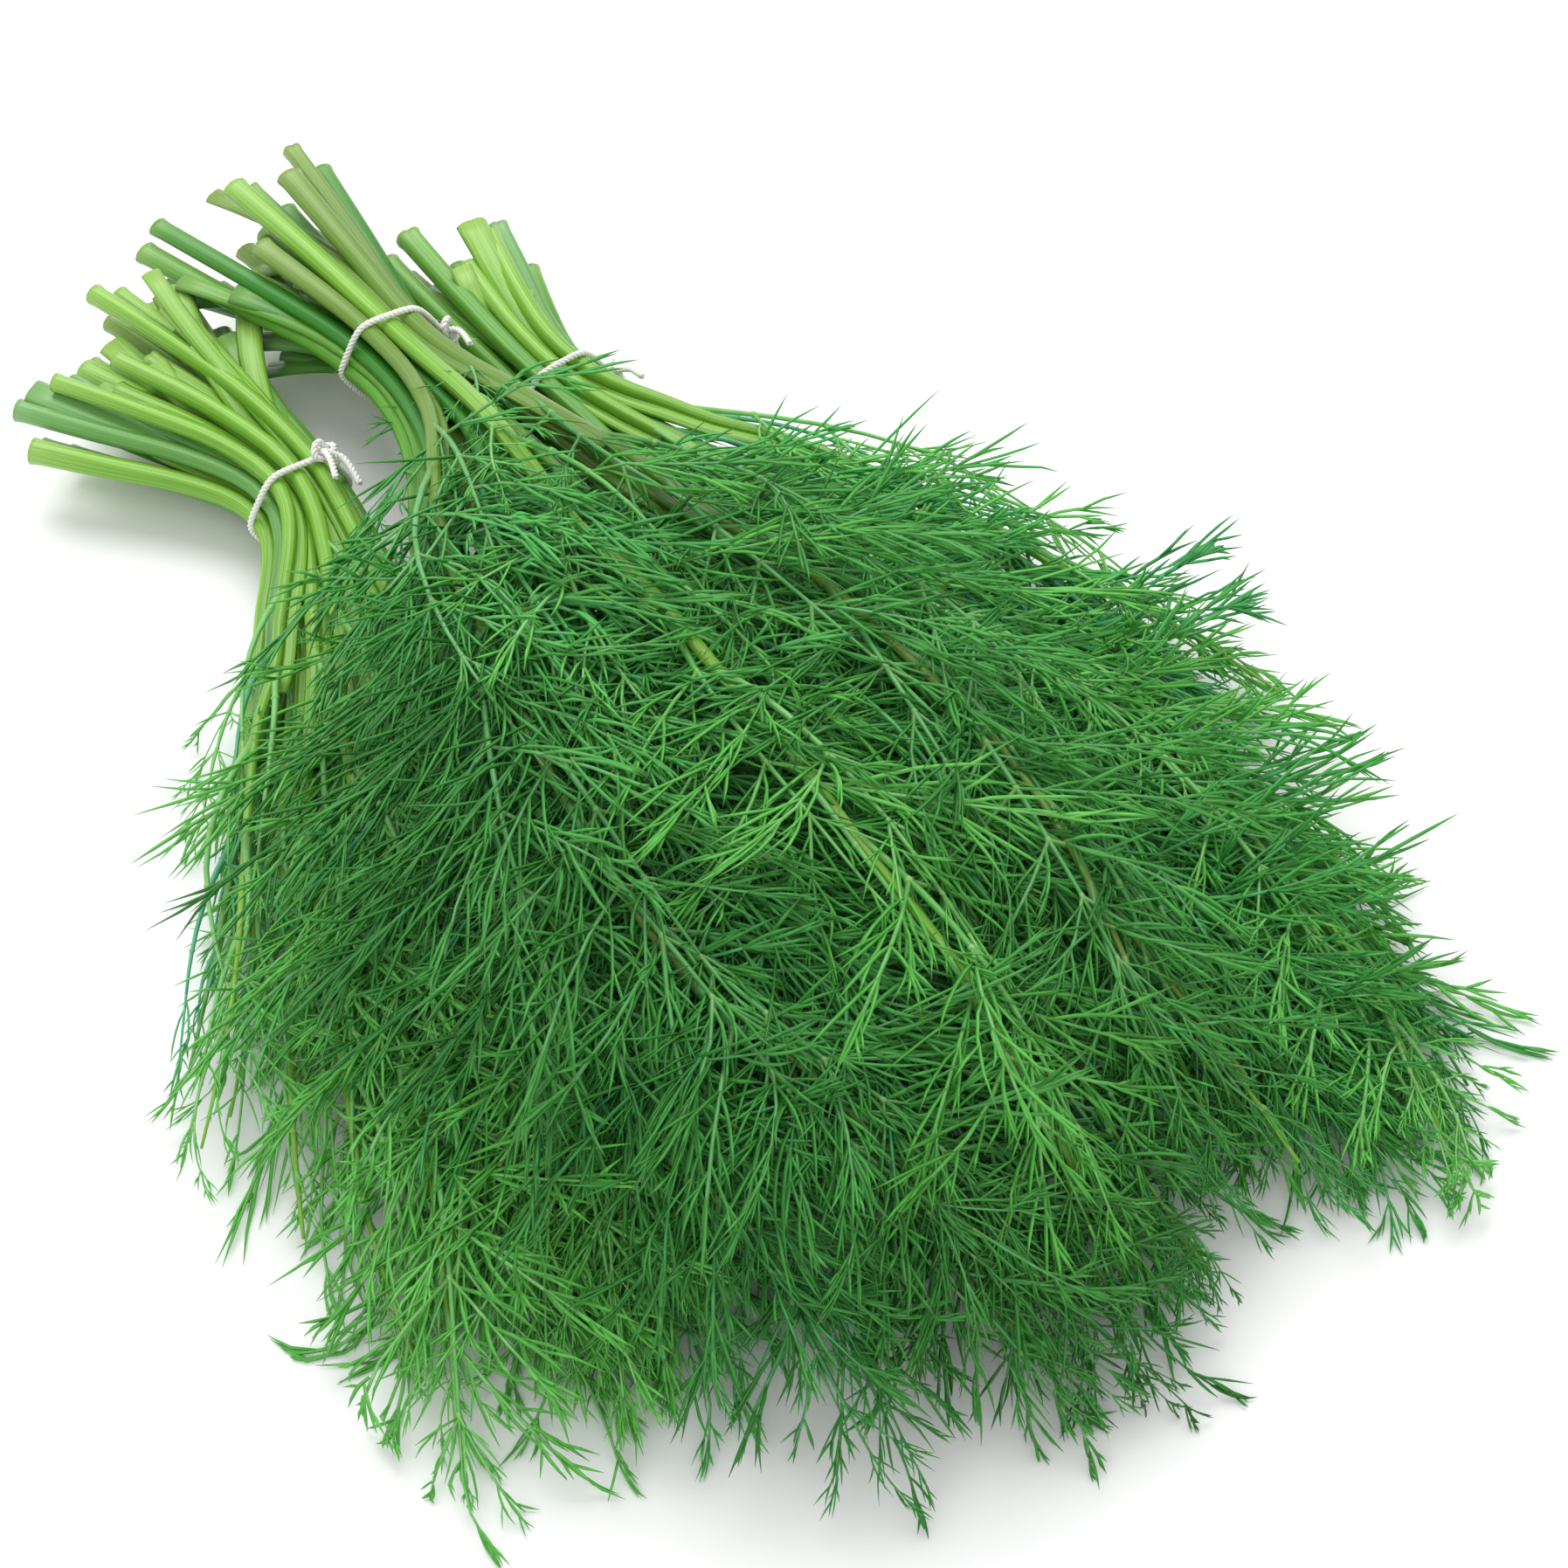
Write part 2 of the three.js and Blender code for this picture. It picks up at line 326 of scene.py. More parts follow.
def dillMaterial(tone, kind):
    material, tree, surface, place, streak = streakedMaterial(f"dill_{tone}_{kind}", kind)
    looks, colours = dillLooks[kind], dillTones[tone]
    swing = stretch(tree, streak, 0.0, 1.0, -looks["swing"], looks["swing"])
    start = stemShade if kind == "stem" else place["Shade"]
    shade = calculate(tree, "ADD", swing, start, clamp=True)
    deep, middle, bright = ((*colour, 1.0) for colour in colours[kind])
    grown = useGroup(
        tree, growthAndShade, Along=place["Along"], Shade=shade, RootShare=looks["pale"], TipShare=looks["dry"],
        Deep=deep, Middle=middle, Bright=bright, Root=(*colours["root"], 1.0), Tip=(*colours["tip"], 1.0),
    )
    feed(tree, surface["Base Color"], grown["Colour"])
    surface["Specular IOR Level"].default_value = looks["shine"]
    return material


def plainMaterial(name, kind):  # its streaks mix two colours
    material, tree, surface, _, streak = streakedMaterial(name, kind)
    dark, light = ((*colour, 1.0) for colour in plainTones[kind])
    feed(tree, surface["Base Color"], mixColours(tree, streak, dark, light))
    return material


dillMaterials = {tone: {kind: dillMaterial(tone, kind) for kind in dillLooks} for tone in dillTones}
pith = plainMaterial("dill_pith", "pith")
cotton = plainMaterial("string_cotton", "string")
print("materials made")

# strands: every stem, rib, thread and ply is a tapering tube along its own line


def outline(name, radii):  # a closed outline that a strand is drawn along, in shares of its radius
    curve = bpy.data.curves.new(name, "CURVE")
    curve.dimensions = "2D"
    spline = curve.splines.new("POLY")
    spline.points.add(len(radii) - 1)
    for index, (point, radius) in enumerate(zip(spline.points, radii)):
        turn = 2 * math.pi * index / len(radii)
        point.co = (radius * math.cos(turn), radius * math.sin(turn), 0, 1)
    spline.use_cyclic_u = True
    return bpy.data.objects.new(name, curve)


stemPlan = {
    "sides": 20,
    "rib": 0.03,  # share of the radius by which every second side stands in
    "channel": 0.3,  # depth of a channelled stem's groove
    "oval": 1.35,  # width of an oval stem by its thickness
    "radius": (1.9, 2.45),  # mm, in the tie
    "cutSwell": (1.0, 1.4),  # how much thicker it is at the cut end
    "lip": 0.1,  # share of the radius by which the cut edge curls out
    "cutEnd": 0.006,  # metres of finer points at the cut end
    "points": (5, 44),  # along the cut end and along the rest
    "lipLength": 0.003,  # metres
    "outlineOdds": (0.45, 0.35, 0.2),  # round, oval and channelled
    "taper": (1, 0.74, 0.16),  # thickness in the tie, where its leaves start and at the tip
    "sink": 0.75,  # how deep a stem lies under its leaves, as a share of its room's half thickness
    "ease": (0.07, 0.05),  # metres over which it sinks under them, and rises at the tip
    "chief": ("middle", 17),  # hank and number of the sprig whose stem shows on the foliage
    "chiefTaper": (1.05, 0.3),  # in the tie and at the tip
    "chiefSink": -0.35,
    "rim": 0.34,  # mm of wall round the cut end's hollow
    "hollow": 0.9,  # mm deep
    "stalks": (1, 2, 2),  # leaf stalks beside a stem, which are broad flat sheaths at the cut end
    "stalkRadius": (1.0, 1.75),  # mm
    "sheath": (1.7, 0.75),  # its width and thickness, as shares of its radius
    "stalkSpread": 2.4,  # mm that a stalk wanders outside the tie
    "stalkTurns": (0.0, 1.2),  # how far round the stem the first and the second stalk lie
    "stalkGap": 0.4,  # mm
    "stalkStart": (0.0, 0.3),  # share of the way to the tie
    "stalkEnd": 0.02,  # metres past the first leaf
    "stalkPoints": 26,
    "stalkTaper": (1.5, 1.0, 0.6),  # at its start, in the tie and at its end
    "stalkLean": {"left": (0, 3.4, 1.6), "right": (0, -1.0, 0), "middle": (0, -2.0, -1.8)},  # mm
}


def stemOutlines():
    turns = np.arange(stemPlan["sides"]) * 2 * math.pi / stemPlan["sides"]
    ribbed = 1 - stemPlan["rib"] * (np.arange(stemPlan["sides"]) % 2)
    wide = math.sqrt(stemPlan["oval"])
    oval = 1 / np.hypot(np.cos(turns) / wide, np.sin(turns) * wide)
    groove = 1 - stemPlan["channel"] * np.exp(-(((turns - math.pi / 2) / 0.42) ** 2))
    broad, thin = stemPlan["sheath"]
    sheath = 1 / np.hypot(np.cos(turns) / broad, np.sin(turns) / thin) * (0.6 + 0.4 * groove)
    shapes = (1, oval, groove, sheath)
    return [outline(f"stem_outline_{i}", ribbed * shape) for i, shape in enumerate(shapes)]


threadOutline = outline("thread_outline", [1, 1, 1])
ribOutline = outline("rib_outline", [1] * 4)
plyOutline = outline("ply_outline", [1] * 7)
stems = stemOutlines()
capSpot = 0.012  # size in the map of the spot that an end cap takes


def strandMesh(name, bundles, drawn, kind, shadeWidth=0.012):
    # bundles holds (lines, radii, shades, span), with as many points on every line of a bundle, and span
    # is the stretch of the map that its lines run along
    sides = len(drawn.data.splines[0].points)
    curve = bpy.data.curves.new(name, "CURVE")
    curve.dimensions = "3D"
    curve.bevel_mode = "OBJECT"
    curve.bevel_object = drawn
    curve.use_fill_caps = True
    (start, end), (dark, light) = mapBands[kind]["along"], mapBands[kind]["shade"]
    capSpots, wallSpots = [], []
    for lines, radii, shades, (spanStart, spanEnd) in bundles:
        count, length = radii.shape
        points = np.ones((count, length, 4))
        points[..., :3] = lines
        for line, radius in zip(points, radii):
            spline = curve.splines.new("POLY")
            spline.points.add(length - 1)
            spline.points.foreach_set("co", line.ravel())
            spline.points.foreach_set("radius", radius)
            spline.use_smooth = True
        if kind == "stem":  # round the stem and back, so that no seam shows
            across = 1 - np.abs(2 * np.arange(sides) / sides - 1)
            across = np.tile(across, (count, 1))
        else:
            across = shades[:, None] * (1 - shadeWidth) + shadeWidth * np.arange(sides) / sides
        turns = 2 * math.pi * np.arange(sides) / sides
        run = np.linspace(spanStart, spanEnd, length)
        wall = np.stack(np.broadcast_arrays(run[None, :, None], across[:, None, :]), -1)
        capAlong = np.array(((spanStart + capSpot,), (spanEnd - capSpot,))) + capSpot * np.cos(turns)
        capAcross = across[:, None, :1] * 0.97 + capSpot * (1 + np.sin(turns))
        cap = np.stack(np.broadcast_arrays(capAlong[None], capAcross), -1)
        wallSpots.append(wall.reshape(-1, 2))
        capSpots.append(cap.reshape(-1, 2))
    shape = addObject(name, curve)
    bpy.context.view_layer.update()
    mesh = bpy.data.meshes.new_from_object(shape.evaluated_get(bpy.context.evaluated_depsgraph_get()))
    bpy.data.objects.remove(shape)
    bpy.data.curves.remove(curve)
    spots = np.vstack(capSpots + wallSpots)
    spots = np.array((start, dark)) + spots * np.array((end - start, light - dark))
    corners = np.empty(len(mesh.loops), np.int32)
    mesh.loops.foreach_get("vertex_index", corners)
    while mesh.uv_layers:
        mesh.uv_layers.remove(mesh.uv_layers[0])
    mesh.uv_layers.new(name=mapName).data.foreach_set("uv", spots[corners].astype(np.float32).ravel())
    return mesh


def hollowCut(mesh):  # the stem's first face is its cut end: a thin wall round a sunken pith
    shape = bmesh.new()
    shape.from_mesh(mesh)
    shape.faces.ensure_lookup_table()
    cut = shape.faces[0]
    for face in shape.faces[:2]:
        face.smooth = False
    inward = -cut.normal * stemPlan["hollow"] * mm
    bmesh.ops.inset_individual(shape, faces=[cut], thickness=stemPlan["rim"] * mm, use_interpolate=True)
    shape.faces.ensure_lookup_table()
    bmesh.ops.translate(shape, verts=list(cut.verts), vec=inward)
    cut.material_index = 1
    shape.to_mesh(mesh)
    shape.free()


def joinMeshes(name, meshes, materials):  # meshes is a list of (mesh, material number)
    shape = bmesh.new()
    for mesh, number in meshes:
        first = len(shape.faces)
        shape.from_mesh(mesh)
        shape.faces.ensure_lookup_table()
        for face in shape.faces[first:]:
            face.material_index += number
        bpy.data.meshes.remove(mesh)
    bmesh.ops.remove_doubles(shape, verts=shape.verts, dist=0.002 * mm)
    bmesh.ops.recalc_face_normals(shape, faces=shape.faces)
    joined = bpy.data.meshes.new(name)
    shape.to_mesh(joined)
    shape.free()
    for material in materials:
        joined.materials.append(material)
    return addObject(name, joined)


# spines: the middle line, plane and width of the room that each sprig fills

finer = 8  # stations on a spine for each step of its solid


def smoothed(points):
    ends = (2 * points[:1] - points[1:2], 2 * points[-1:] - points[-2:-1])
    p = np.vstack((ends[0], points, ends[1]))
    t = np.linspace(0, 1, finer, endpoint=False)[:, None]
    legs = [
        0.5 * (2 * b + (c - a) * t + (2 * a - 5 * b + 4 * c - d) * t**2 + (3 * b - a - 3 * c + d) * t**3)
        for a, b, c, d in zip(p, p[1:], p[2:], p[3:])
    ]
    return np.vstack((*legs, points[-1:]))


def ringsOf(node):  # from the cut end to the tip
    shape = bmesh.new()
    shape.from_mesh(frame["nodes"][node].data)
    bmesh.ops.remove_doubles(shape, verts=shape.verts, dist=0.001 * mm)
    shape.normal_update()
    flatness = lambda v: sum((f.normal for f in v.link_faces), Vector()).length / len(v.link_faces)
    ends = sorted(shape.verts, key=flatness)[-2:]  # the middles of the two flat ends
    layer = [min(ends, key=lambda v: v.co.x)]
    seen, rings = set(layer), []
    while True:
        near = {edge.other_vert(v) for v in layer for edge in v.link_edges} - seen
        layer = sorted(near, key=lambda v: v.index)
        if len(layer) < 3:
            break
        seen.update(layer)
        rings.append(np.array([v.co for v in layer]))
    shape.free()
    return rings


def spineOf(node):
    rings = ringsOf(node)
    middles = np.array([ring.mean(0) for ring in rings])
    headings = unit(np.gradient(middles, axis=0))
    across = []
    for ring, middle, heading in zip(rings, middles, headings):
        level = unit(np.cross(skyward, heading))
        spread = ring - middle
        spread = spread - np.outer(spread @ heading, heading)
        _, sizes, ways = np.linalg.svd(spread)
        widest = ways[0] * np.sign(ways[0] @ level)
        flat = min(max((sizes[0] / max(sizes[1], 1e-9) - 1.15) / 0.5, 0), 1)
        across.append(unit(flat * widest + (1 - flat) * level))
    across = np.array(across)
    up = unit(np.cross(headings, across))
    halves = [
        (np.abs((ring - middle) @ a).max(), np.abs((ring - middle) @ u).max())
        for ring, middle, a, u in zip(rings, middles, across, up)
    ]
    spine = {"middle": smoothed(middles), "across": unit(smoothed(across))}
    spine["half"] = smoothed(np.array(halves))
    spine["heading"] = unit(np.gradient(spine["middle"], axis=0))
    spine["up"] = unit(np.cross(spine["heading"], spine["across"]))
    spine["run"] = runsOf(spine["middle"])  # metres from the cut end
    return spine


def along(spine, label, run):
    return between(run, spine["run"], spine[label])


# pinnae: the side branches of a leaf, grown once at unit length and used again with their own bends

pinnaPlan = {
    "patterns": 10,  # of each number of pairs
    "pairs": (2, 3, 4, 5),
    "pairGap": 0.01,  # metres of pinna for each pair
    "firstPair": 0.12,
    "lastPair": 0.8,
    "lastThread": 0.96,  # no thread leaves the rib past this share of it
    "reach": 0.68,  # longest pinnule, as a share of the pinna
    "angle": (17, 38),  # degrees off the rib
    "lift": 0.24,  # out of the leaf's plane
    "forkAt": (0.2, 0.6),
    "forkAngle": (10, 22),
    "forkReach": (0.42, 0.72),
    "forks": (0, 1, 1, 2, 2),
    "bend": (0.1, -0.2, -0.12),  # along, across and out of the plane, at the end of a thread
    "bendSwing": 1.4,  # the most that a thread bends, as a share of that
    "bendNoise": 0.05,
    "ribBend": 0.06,
    "pairSwing": 0.16,  # how unevenly the pairs are spaced, as a share of their gap
    "tipPair": 0.4,  # angle of the last pair, as a share of the others' angle
    "tipAngle": 0.3,  # share of its angle and
    "tipReach": 0.45,  # share of its reach that a thread loses from the rib's root to its tip
    "reachSwing": (0.75, 1.2),
    "forkLift": 0.16,
    "forkBend": 0.09,
    "points": {"rib": 4, "thread": 5, "fork": 3},
    "radius": {"rib": 0.46, "thread": 0.42, "fork": 0.38, "point": 0.04},  # mm
}


def bentLine(root, heading, reach, bend, points):  # bend is how far the end is carried off the line
    share = np.linspace(0, 1, points)[:, None]
    return root + reach * (heading * share + bend * share**2)


def growPattern(rng, pairs):
    plan, lines = pinnaPlan, {"rib": [], "thread": [], "fork": []}
    points = plan["points"]
    ribBend = np.array((0, rng.uniform(-plan["ribBend"], plan["ribBend"]), 0))
    rib = bentLine(np.zeros(3), np.array((1.0, 0, 0)), 1.0, ribBend, points["rib"])
    lines["rib"].append(rib)
    shares = np.linspace(0, 1, points["rib"])
    gap = (plan["lastPair"] - plan["firstPair"]) / max(pairs - 1, 1)
    for pair in range(pairs + 1):
        sides = (-1, 1) if pair < pairs else (-plan["tipPair"], plan["tipPair"])
        for side in sides:
            uneven = rng.uniform(-plan["pairSwing"], plan["pairSwing"])
            share = min(plan["firstPair"] + gap * (pair + uneven), plan["lastThread"])
            angle = math.radians(rng.uniform(*plan["angle"])) * (1 - plan["tipAngle"] * share) * abs(side)
            lift = rng.normal(0, plan["lift"])
            heading = unit(np.array((math.cos(angle), math.copysign(math.sin(angle), side), lift)))
            reach = plan["reach"] * (1 - plan["tipReach"] * share) * rng.uniform(*plan["reachSwing"])
            bend = np.array(plan["bend"]) * (1, math.copysign(1, side), 1)
            bend = bend * rng.uniform(0, plan["bendSwing"]) + rng.normal(0, plan["bendNoise"], 3)
            root = between(share, shares, rib)
            lines["thread"].append(bentLine(root, heading, reach, bend, points["thread"]))
            for _ in range(rng.choice(plan["forks"])):
                forkAt = rng.uniform(*plan["forkAt"])
                spread = math.radians(rng.uniform(*plan["forkAngle"])) * rng.choice((-1, 1))
                turned = np.array((
                    heading[0] * math.cos(spread) - heading[1] * math.sin(spread),
                    heading[0] * math.sin(spread) + heading[1] * math.cos(spread),
                    heading[2] + rng.normal(0, plan["forkLift"]),
                ))
                forkRoot = root + reach * (heading * forkAt + bend * forkAt**2)
                forkReach = reach * rng.uniform(*plan["forkReach"])
                forkBend = rng.normal(0, plan["forkBend"], 3)
                fork = bentLine(forkRoot, unit(turned), forkReach, forkBend, points["fork"])
                lines["fork"].append(fork)
    return {kind: np.array(group) for kind, group in lines.items()}


def growPatterns():
    rng = np.random.default_rng(5)
    return {n: [growPattern(rng, n) for _ in range(pinnaPlan["patterns"])] for n in pinnaPlan["pairs"]}


patterns = growPatterns()
tapers = {"rib": (1, 0.9, 0.8, 0.7), "thread": (0.8, 1, 1, 0.8, 0), "fork": (0.75, 1, 0)}
print("pinna patterns grown")

# leaves

leafPlan = {
    "spacing": (0.054, 0.046, 0.034, 0.027, 0.024),  # metres, from a hank's bottom row to its top
    "length": (0.082, 0.112),
    "fullLength": 0.097,  # a leaf of this length has full-sized pinnae
    "petiole": (0.16, 0.28),  # share of the rib that is bare
    "pinnaGap": (0.0135, 0.0185),
    "pinnaLength": (0.034, 0.046),
    "pinnaAngle": (54, 24),  # degrees off the rib, from its first pinna to its last
    "ribRadius": (0.9, 0.36),  # mm
    "nodeSwell": 1.4,  # how much thicker the rib is where pinnae leave it
    "tilt": 0.3,  # radians that a leaf turns about its rib
    "runSwing": (0.74, 0.95),  # how far along the plume it ends, as a share of its length
    "outSwing": (0.12, 1.0),  # and how far out, as a share of the plume's half width
    "wobble": 0.03,  # share of its reach that a rib strays from a clean arc
    "ribPoints": 9,
    "nodeHalf": 0.9,  # mm from a node's middle to its ends
    "nodeShade": 0.15,  # how much lighter a node is than its rib
    "angleSwing": 9,  # degrees
    "rise": 0.14,  # how far a pinna leans out of the leaf's plane
    "tipLoss": (0.5, 1.3),  # share of its length that the last pinna loses, and how late that comes
    "pinnaSwing": (0.85, 1.1),
    "tipPinna": 0.6,  # length of the pinna that ends the rib, as a share of the longest
    "curl": 0.13,  # how a pinna is bent sideways,
    "sag": (-0.04, 0.22),  # bent down
    "twist": 0.4,  # and turned along its length
    "lift": ((-0.9, 0.6), (-0.8, 0.8), (-0.6, 1.0), (-0.2, 1.05), (0.0, 1.15)),  # for each row
    "shadeSwing": 0.12,  # how much one leaf's shade differs from the next
    "drift": 0.22,  # how much the shade drifts over the bunch
    "ageingAndShade": 0.65,  # and how much it darkens from the cut ends to the tips, partly older green and partly painted shade on the side of the bunch away from the key light
    "rimAllowance": (-0.017, -0.005),  # metres that most leaves reach past the outline of the solids
    "strayAllowance": (0.002, 0.015),  # and the stray leaves that fringe it
    "strayOdds": 0.25,
    "tipRoom": 0.004,  # metres inside its allowance where a rib ends
    "dropped": 0.2,  # a pinna with more than this share of itself past its allowance isn't grown
    "lowEnd": 0.0035,  # metres over the table at which a low pinna is aimed to end
    "lowSwing": (0.5, 2.0),  # and how much that varies
    "tableGap": 0.6,  # mm that the lowest threads keep over the table
    "softness": 1.2,  # mm over which they are pressed flat
    "proud": (0.009, 0.009, 0.002),  # metres past the box where threads start to be held back
    "kept": 0.25,  # share of the rest that is kept
    "fineFrom": 0.028,  # threads of a pinna shorter than this are thinner
    "fine": (0.5, 1.1),  # their thinnest and thickest
}


def wander(point):  # slow light and dark drifts through the whole bunch, about -1 to 1
    x, y, z = point[..., 0] / 0.03, point[..., 1] / 0.03, point[..., 2] / 0.02
    waves = (1.3 * x + 0.7 * y + 1.9, 1.1 * y - 0.9 * z + x, 2.3 * x - 1.7 * y + z)
    return sum(np.sin(wave) for wave in waves) / 3


def pressed(points):  # threads lie on the table instead of in it, and none strays far from the bunch
    soft, floor = leafPlan["softness"] * mm, leafPlan["tableGap"] * mm
    edges, kept = leafPlan["proud"], leafPlan["kept"]
    held = points.copy()
    held[..., 2] = floor + soft * np.logaddexp(0, (points[..., 2] - floor) / soft)
    for axis in range(3):
        low, high = boxLow[axis] - edges[axis], boxHigh[axis] + edges[axis]
        over, under = np.maximum(held[..., axis] - high, 0), np.maximum(low - held[..., axis], 0)
        if axis == 2:
            under = under * 0  # the table holds these already
        held[..., axis] += (kept - 1) * (over - under)
    return held


def outsideBy(point):  # metres that a point lies past the plan outline of all the sprigs' rooms
    away = np.hypot(outlineSpots[:, 0] - point[0], outlineSpots[:, 1] - point[1])
    return float((away - outlineHalves).min())


def growPinna(leaf, rng, root, heading, normal, length, shade):
    fewest, *_, most = pinnaPlan["pairs"]
    pairs = int(np.clip(round(length / pinnaPlan["pairGap"]), fewest, most))
    pattern = patterns[pairs][rng.integers(pinnaPlan["patterns"])]
    mirror = rng.choice((-1, 1))
    plan = leafPlan
    curl, sag = rng.normal(0, plan["curl"]), rng.uniform(*plan["sag"])
    twist = rng.normal(0, plan["twist"])
    side = np.cross(normal, heading)
    fine = np.clip(length / plan["fineFrom"], *plan["fine"])
    for kind, lines in pattern.items():
        x, y, z = lines[..., 0], lines[..., 1] * mirror, lines[..., 2]
        turn = twist * x
        y, z = y * np.cos(turn) - z * np.sin(turn), y * np.sin(turn) + z * np.cos(turn)
        y, z = y + curl * x**2, z - sag * x**2
        placed = root + length * (x[..., None] * heading + y[..., None] * side + z[..., None] * normal)
        radius, point = pinnaPlan["radius"][kind], pinnaPlan["radius"]["point"]
        radii = (point + (radius - point) * np.array(tapers[kind])) * mm * fine
        radii = radii * rng.uniform(0.85, 1.15, (len(lines), 1))
        shades = shade + rng.normal(0, plan["shadeSwing"] * 0.7, len(lines))
        leaf["axis" if kind == "rib" else "thread"].append((placed, radii, shades, (0, 1)))


def aimPinna(rng, root, heading, normal, length, allowance):  # off the table and near the outline
    plan = leafPlan
    lowest = plan["lowEnd"] * rng.uniform(*plan["lowSwing"])
    if root[2] + length * heading[2] < lowest:
        slope = np.clip((lowest - root[2]) / length, -0.6, 0.2)
        heading = unit(np.array((heading[0], heading[1], slope)))
    low = np.interp(min(root[2], root[2] + length * heading[2]), (0.006, 0.02), (0.9, 0))
    normal = unit((1 - low) * normal + low * skyward)
    past = outsideBy(root + length * heading) - allowance
    return heading, unit(normal - (normal @ heading) * heading), past < plan["dropped"] * length


def growLeaf(leaf, spine, rng, run, side, row, habit, small=1.0, spread=0.006):
    plan = leafPlan
    total = spine["run"][-1]
    length = min(rng.uniform(*plan["length"]) * small, (total - run) * 1.1 + 0.014)
    scale = min(length / plan["fullLength"], 1.15)
    root, heading = along(spine, "stem", run), along(spine, "heading", run)
    goalRun = min(run + length * rng.uniform(*plan["runSwing"]), total)
    half = along(spine, "half", goalRun)
    out = side * rng.uniform(*plan["outSwing"]) * max(half[0], spread)
    lift = rng.uniform(*plan["lift"][row]) * max(half[1], 0.5 * spread)
    across, up = along(spine, "across", goalRun), along(spine, "up", goalRun)
    beyond = np.clip(run + length * 0.8 - total, 0, habit["past"]) * along(spine, "heading", total)
    goal = along(spine, "middle", goalRun) + across * out + up * lift + beyond
    stray = rng.uniform() < plan["strayOdds"]
    farSide = (goal - along(spine, "hankMiddle", goalRun)) @ across > 0
    allowance = rng.uniform(*plan["strayAllowance" if stray else "rimAllowance"])
    allowance += habit["edge"][farSide] * min(small, 1) ** 2
    reach = np.linalg.norm(goal - root)
    short = np.clip((outsideBy(goal) + plan["tipRoom"] - allowance) / reach, 0, 0.7)
    goal, reach = goal + short * (root - goal), reach * (1 - short)
    knee = root + unit(heading + 0.3 * side * across + 0.2 * up) * reach * 0.5
    t = np.linspace(0, 1, plan["ribPoints"])[:, None]
    rib = (1 - t) ** 2 * root + 2 * t * (1 - t) * knee + t**2 * goal
    rib = rib + rng.normal(0, plan["wobble"], 3) * reach * np.sin(math.pi * t) * t
    ribHeadings = unit(np.gradient(rib, axis=0))
    forward = np.clip((goal[0] - boxLow[0]) / (boxHigh[0] - boxLow[0]), 0, 1) - 0.6
    # painted light and shade: the hank's lightness and the darkening towards the tips stand partly for
    # how light falls over the bunch
    shade = 0.5 + habit["youthAndLight"] + plan["drift"] * wander(goal) - plan["ageingAndShade"] * forward
    shade = shade + rng.normal(0, plan["shadeSwing"])
    ribRadii = np.interp(t[:, 0], (0, 0.06, 1), (plan["ribRadius"][0] * 1.3, *plan["ribRadius"])) * mm
    ribRadii = ribRadii * (0.4 + 0.6 * scale)
    ribShade = np.array((shade,))
    leaf["axis"].append((rib[None], ribRadii[None], ribShade, (0, 1)))
    tilt = rng.normal(0, plan["tilt"])
    bare = rng.uniform(*plan["petiole"])
    gap = rng.uniform(*plan["pinnaGap"]) * (0.35 + 0.65 * scale) / reach
    longest = rng.uniform(*plan["pinnaLength"]) * scale
    loss, late = plan["tipLoss"]
    for station in np.arange(bare, 0.96, gap):
        share = (station - bare) / (1 - bare)
        spot = between(station, t[:, 0], rib)
        forward = unit(between(station, t[:, 0], ribHeadings))
        flat = unit(np.cross(up, forward))
        normal = unit(math.cos(tilt) * np.cross(forward, flat) + math.sin(tilt) * flat)
        sideways = np.cross(normal, forward)
        radius = np.interp(station, t[:, 0], ribRadii)
        node = spot + forward * np.array((-1, 0, 1))[:, None] * plan["nodeHalf"] * mm
        swell = radius * np.array((0.9, plan["nodeSwell"], 0.9))  # its ends are hidden in the rib
        nodeShade = np.array((shade + plan["nodeShade"],))
        leaf["axis"].append((node[None], swell[None], nodeShade, (0.05, 0.12)))
        for hand in (-1, 1):
            swing = rng.uniform(-plan["angleSwing"], plan["angleSwing"])
            angle = math.radians(np.interp(share, (0, 1), plan["pinnaAngle"]) + swing)
            rise = rng.normal(0, plan["rise"])
            aimed = unit(math.cos(angle) * forward + hand * math.sin(angle) * sideways + rise * normal)
            size = longest * (1 - loss * share**late) * rng.uniform(*plan["pinnaSwing"])
            aimed, own, kept = aimPinna(rng, spot, aimed, normal, size, allowance)
            if kept:
                pinnaShade = shade + rng.normal(0, plan["shadeSwing"] * 0.5)
                growPinna(leaf, rng, spot, aimed, own, size, pinnaShade)
    size = longest * plan["tipPinna"]
    aimed, own, _ = aimPinna(rng, rib[-1], ribHeadings[-1], normal, size, allowance)
    growPinna(leaf, rng, rib[-1], aimed, own, size, shade)


# sprigs

# Odds of each tone in each hank: lighter tones are likelier on the left and darker ones in the middle,
# which is partly painted light and shade.
toneOdds = {
    "left": {"grass": 0.2, "deep": 0.0, "sea": 0.1, "young": 0.6, "ripe": 0.1},
    "right": {"grass": 0.4, "deep": 0.25, "sea": 0.15, "young": 0.15, "ripe": 0.05},
    "middle": {"grass": 0.35, "deep": 0.4, "sea": 0.1, "young": 0.05, "ripe": 0.1},
}
